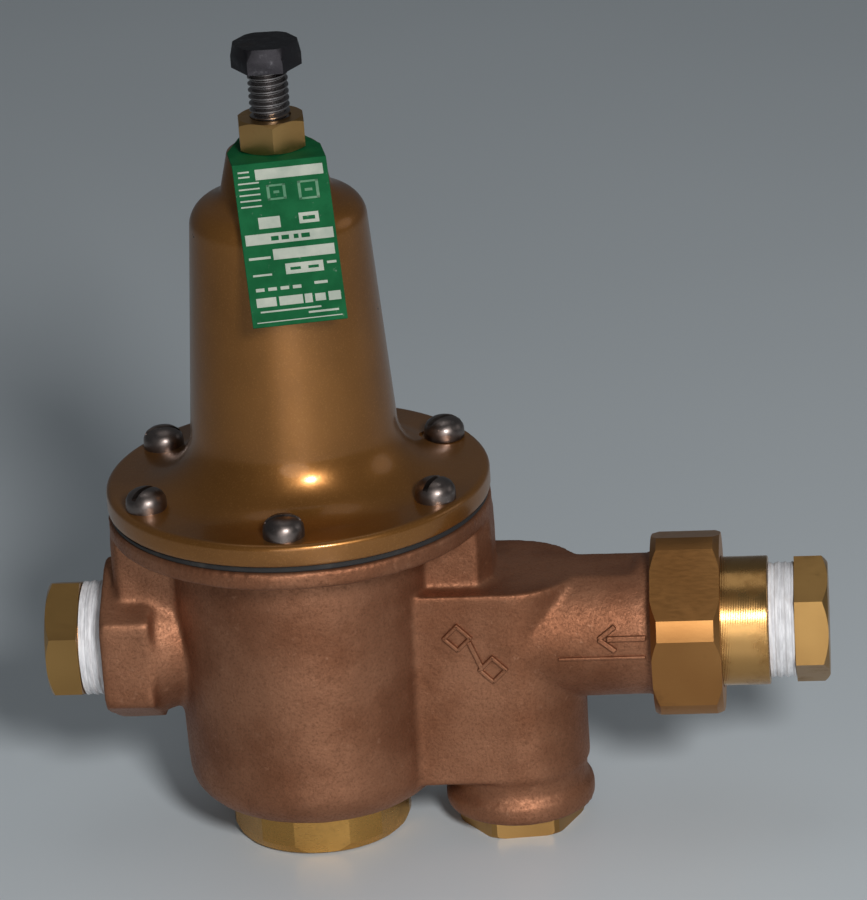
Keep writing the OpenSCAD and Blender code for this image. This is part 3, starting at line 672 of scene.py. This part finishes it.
def tag():
    """A bent sheet tag with plain blocks and lines where its printing goes."""
    piece = round_edges(make("rating_tag", copy_of("tag_plate"), green_enamel), 0.00012, 2, 30)
    fit(piece, "tag", "tag", "tag_plate")
    solid = [(0.23, 0.95, 0.040, 0.105), (0.20, 0.43, 0.335, 0.405), (0.63, 0.84, 0.330, 0.395),
             (0.04, 0.97, 0.435, 0.500), (0.31, 0.96, 0.535, 0.600), (0.42, 0.82, 0.630, 0.695),
             (0.07, 0.28, 0.825, 0.880), (0.31, 0.56, 0.825, 0.880), (0.58, 0.66, 0.825, 0.880),
             (0.69, 0.80, 0.830, 0.875), (0.83, 0.96, 0.825, 0.880)]
    fine = [(0.05, 0.17, 0.045, 0.055), (0.05, 0.17, 0.075, 0.085), (0.07, 0.27, 0.680, 0.692),
            (0.05, 0.28, 0.575, 0.590), (0.86, 0.96, 0.640, 0.655), (0.70, 0.84, 0.755, 0.772),
            (0.05, 0.95, 0.970, 0.976), (0.10, 0.74, 0.905, 0.915), (0.60, 0.92, 0.932, 0.944)]
    fine += [(0.04, 0.26, 0.115 + 0.036 * i, 0.124 + 0.036 * i) for i in range(5)]
    fine += [(0.08 + 0.13 * i, 0.17 + 0.13 * i, 0.765, 0.785) for i in range(4)]
    print_on_tag("tag_print", solid + fine, white_enamel)
    frames = [(0.33, 0.53, 0.140, 0.235), (0.66, 0.88, 0.135, 0.250)]
    dim = []
    for left, right, top, foot in frames:
        dim += [(left, right, top, top + 0.012), (left, right, foot - 0.012, foot),
                (left, left + 0.03, top, foot), (right - 0.03, right, top, foot),
                (left + 0.07, right - 0.07, (top + foot) / 2 - 0.008, (top + foot) / 2 + 0.008)]
    print_on_tag("tag_frames", dim, faint_enamel)
    marks = [(0.31, 0.39, 0.455, 0.482), (0.42, 0.50, 0.455, 0.482), (0.55, 0.60, 0.455, 0.482),
             (0.63, 0.72, 0.455, 0.482), (0.47, 0.58, 0.655, 0.672), (0.66, 0.77, 0.655, 0.672),
             (0.67, 0.80, 0.352, 0.375)]
    print_on_tag("tag_dark_print", marks, green_enamel, 0.05 * MM)


def print_on_tag(name, patches, enamel, proud=0.02 * MM):
    """Thin patches on the leaning front, each given as shares of its width and of its length."""
    down = Vector((0, -math.sin(TAG_LEAN), -math.cos(TAG_LEAN)))
    out = Vector((0, -math.cos(TAG_LEAN), math.sin(TAG_LEAN)))
    sheet = Matrix((Vector((1, 0, 0)), down, -out)).transposed().to_4x4()
    front = Matrix.Rotation(TAG_TURN, 4, "Z") @ Matrix.Translation(TAG_BEND) @ sheet
    parts = []
    for left, right, top, foot in patches:
        size = ((right - left) * TAG_SIZE.x, (foot - top) * TAG_SIZE.y, 0.06 * MM)
        place = ((left + right - 1) / 2 * TAG_SIZE.x, (top + foot) / 2 * TAG_SIZE.y, 0.03 * MM - proud)
        parts.append(block(size, place))
    fit(make(name, moved(joined(*parts), front), enamel), "tag", "tag")


# ------------------------------------------------ bottom cap and strainer plug

def bottom_cap():
    """The cap keeps its hexagon, floor and guide; its plain outer wall gives way to a cut thread."""
    cap = make("bottom_cap_hex", copy_of("bottom_cap"), cap_brass)
    cut_away(cap, tube(0, 9.53 * MM, 20 * MM, 16.9 * MM, 19.5 * MM), 12)
    fit(round_edges(cap, 0.0004, 3, 12), "cap", "brass", "bottom_cap")
    thread = make("bottom_cap_thread", threaded_rod(9.5 * MM, 19.2 * MM, 17.78 * MM, 1.5 * MM, 0.85 * MM), cap_brass)
    cut_away(thread, cylinder(0, 0, 5 * MM, 22 * MM, 16.4 * MM, 64))
    fit(thread, "cap", "brass")


def strainer_plug():
    """A pipe plug whose hollow end carries the screen."""
    plug = make("strainer_plug_hex", copy_of("strainer_plug"), plug_brass)
    cut_away(plug, tube(LEG_X, 4.03 * MM, 20 * MM, 12.1 * MM, 15 * MM), 12)
    fit(round_edges(plug, 0.0003, 3, 12), "drain_plug", "brass", "strainer_plug")
    shank = threaded_rod(4.0 * MM, 15.0 * MM, 13.08 * MM, 1.8143 * MM, 0.95 * MM)
    thread = make("strainer_plug_thread", moved(shank, Matrix.Translation((LEG_X, 0, 0))), plug_brass)
    cut_away(thread, cylinder(LEG_X, 0, 1 * MM, 20 * MM, 11.6 * MM, 64))
    fit(thread, "drain_plug", "brass")


def tube(x, low, high, inner, outer):
    """A closed tube that stands on Z at x."""
    walls = [(inner, low), (outer, low), (outer, high), (inner, high)]
    return moved(turned(walls, 64), Matrix.Translation((x, 0, 0)))


# ------------------------------------------------------------ union and plugs

def union():
    nut = round_edges(make("union_nut_hex", copy_of("union_nut"), satin_brass, 12), 0.0005, 3, 12)
    fit(nut, "coupling_nut", "brass", "union_nut")
    tail = round_edges(make("tailpiece", copy_of("union_tailpiece"), bright_brass), 0.0003, 2)
    fit(tail, "tailpiece", "bright_brass", "union_tailpiece")


def pipe_plugs():
    for node, body in (("outlet_plug", "valve_body"), ("inlet_plug", "tailpiece")):
        piece = round_edges(make(node + "_hex", copy_of(node), plug_brass, 12), 0.0003, 3, 12)
        fit(piece, body, "brass", node)


def tapes():
    """Several turns of tape pulled into the threads, with raised edges and folds."""
    for node, body, foot in (("outlet_tape", "valve_body", -54.6), ("inlet_tape", "tailpiece", 111.3)):
        profile = [(13.2, 0.0)]
        for i in range(33):
            z = 0.05 + i * 6.0 / 32
            wrap = 0.16 * math.sin(z * 2 * math.pi / 1.81) + 0.09 * math.sin(z * 7.7 + 1.0)
            profile.append((13.72 + wrap, z))
        profile.append((13.2, 6.1))
        bm = turned([(r * MM, z * MM) for r, z in profile], 96)
        for vert in bm.verts:
            reach = math.hypot(vert.co.x, vert.co.y)
            if reach > 13.3 * MM:
                pull = 1 + noise.noise(Vector((vert.co.x * 160, vert.co.y * 160, vert.co.z * 500))) * 0.016
                vert.co.x *= pull
                vert.co.y *= pull
        piece = make(node + "_wrap", along_x(bm, foot * MM), white_tape)
        fit(piece, body, "tape", node)


# ------------------------------------------------------------------- inside

def half_springs():
    """The spring cut in two halves at its middle, both kept with the valve body."""
    middle = 117.05 * MM
    lower_room = middle - 89.5 * MM
    upper_room = 144.6 * MM - middle
    for name, side, joint, travel, room in (("spring_lower_coils", 1, "stem_travel", 3.4, lower_room),
                                            ("spring_upper_coils", -1, "button_travel", 11.2, upper_room)):
        bm = copy_of("range_spring")
        bmesh.ops.bisect_plane(bm, geom=bm.verts[:] + bm.edges[:] + bm.faces[:], dist=1e-7,
                               plane_co=(0, 0, middle), plane_no=(0, 0, side), clear_outer=True)
        bmesh.ops.holes_fill(bm, edges=[e for e in bm.edges if e.is_boundary], sides=0)
        piece = fit(make(name, bm, spring_steel), "valve_body", "spring_steel", "range_spring")
        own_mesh(piece)


def strainer_screen():
    """Perforated sheet rolled into a tube, with a plain band at each end."""
    radius = 10.3 * MM
    low = 12.0 * MM
    rows = 26
    columns = 60
    step = (39.5 * MM - low) / rows
    bm = bmesh.new()
    ring = bmesh.ops.create_circle(bm, segments=columns, radius=radius)["verts"]
    edges = [e for e in bm.edges]
    for _ in range(rows):
        grown = bmesh.ops.extrude_edge_only(bm, edges=edges)["geom"]
        raised = [g for g in grown if isinstance(g, bmesh.types.BMVert)]
        bmesh.ops.translate(bm, vec=(0, 0, step), verts=raised)
        edges = [g for g in grown if isinstance(g, bmesh.types.BMEdge)]
        edges = [e for e in edges if all(v in set(raised) for v in e.verts)]
    middle = [f for f in bm.faces if 1.5 * step < f.calc_center_median().z < (rows - 1.5) * step]
    bmesh.ops.inset_individual(bm, faces=middle, thickness=0.2 * MM, use_even_offset=True)
    bmesh.ops.delete(bm, geom=middle, context="FACES")
    piece = make("perforated_screen", moved(bm, Matrix.Translation((LEG_X, 0, low))), mesh_steel)
    wall = piece.modifiers.new("wall", "SOLIDIFY")
    wall.thickness = 0.5 * MM
    wall.offset = 0.0
    return fit(piece, "screen", "screen_steel", "strainer_screen")


def inner_nodes():
    finish_nodes(inner_brass, ["seat_ring", "stem", "stem_nut", "diaphragm_washer", "disc_holder", "disc_retainer"])
    finish_nodes(black_rubber, ["seat_gasket", "seat_disc", "cap_gasket", "strainer_gasket", "union_gasket"])
    finish_nodes(plate_steel, ["diaphragm_plate", "spring_button"])


# -------------------------------------------------------------------- stage

def floor_and_backdrop():
    """A plain pale round floor that the valve stands on."""
    bm = bmesh.new()
    bmesh.ops.create_circle(bm, cap_ends=True, segments=96, radius=6.0)
    sweep = Finish("pale_floor", Roughness=0.38)
    mottle = sweep.noise(3.0, 2.0, 0.5)
    sweep.set("Base Color", sweep.mix(mottle.fade(0.3, 0.7), (0.62, 0.67, 0.70), (0.65, 0.70, 0.73)))
    make("floor", bm, sweep.material)


def area_light(name, place, target, size, power, colour=(1, 1, 1)):
    lamp = bpy.data.lights.new(name, "AREA")
    lamp.shape = "DISK"
    lamp.size = size
    lamp.energy = power
    lamp.color = colour
    holder = bpy.data.objects.new(name, lamp)
    holder.location = place
    holder.rotation_mode = "QUATERNION"
    holder.rotation_quaternion = (Vector(target) - Vector(place)).to_track_quat("-Z", "Y")
    bpy.context.scene.collection.objects.link(holder)


def studio():
    """Soft light from the front right and above, with a weak fill all round."""
    middle = (0.03, 0, 0.09)
    area_light("key", (0.40, -1.06, 0.70), middle, 0.24, 12)
    area_light("front_fill", (0.12, -1.5, 0.30), middle, 0.8, 3.5)
    area_light("top", (0.0, 0.25, 1.5), middle, 1.0, 1.2)
    area_light("right_side", (1.2, 0.3, 0.5), middle, 0.6, 0.5)
    world = bpy.data.worlds.new("room")
    bpy.context.scene.world = world
    world.use_nodes = True
    air = world.node_tree.nodes["Background"]
    air.inputs["Color"].default_value = (0.80, 0.88, 0.95, 1)
    air.inputs["Strength"].default_value = 0.10
    bpy.context.scene.view_settings.view_transform = "Standard"


def camera():
    """A long lens, a little above and to the right of the valve, with a slight roll."""
    azimuth = math.radians(5.588)
    elevation = math.radians(21.717)
    roll = math.radians(-3.766)
    distance = 1.2245
    target = Vector((0.03296, 0, 0.09647))
    back = Vector((math.sin(azimuth) * math.cos(elevation), -math.cos(azimuth) * math.cos(elevation),
                   math.sin(elevation)))
    right = Vector((math.cos(azimuth), math.sin(azimuth), 0))
    up = back.cross(right)
    rolled_right = right * math.cos(roll) + up * math.sin(roll)
    rolled_up = up * math.cos(roll) - right * math.sin(roll)
    lens = bpy.data.cameras.new("camera")
    lens.sensor_width = 36
    lens.lens = 205.5
    lens.clip_start = 0.05
    lens.clip_end = 50
    holder = bpy.data.objects.new("camera", lens)
    turn = Matrix((rolled_right, rolled_up, back)).transposed().to_4x4()
    holder.matrix_world = Matrix.Translation(target + back * distance) @ turn
    bpy.context.scene.collection.objects.link(holder)
    bpy.context.scene.camera = holder


camera()
studio()
floor_and_backdrop()
casting()
cast_marks()
union_spigot()
spring_cage()
diaphragm()
flange_screw_set()
adjusting_screw()
lock_nut()
tag()
bottom_cap()
strainer_plug()
union()
pipe_plugs()
tapes()
half_springs()
strainer_screen()
inner_nodes()
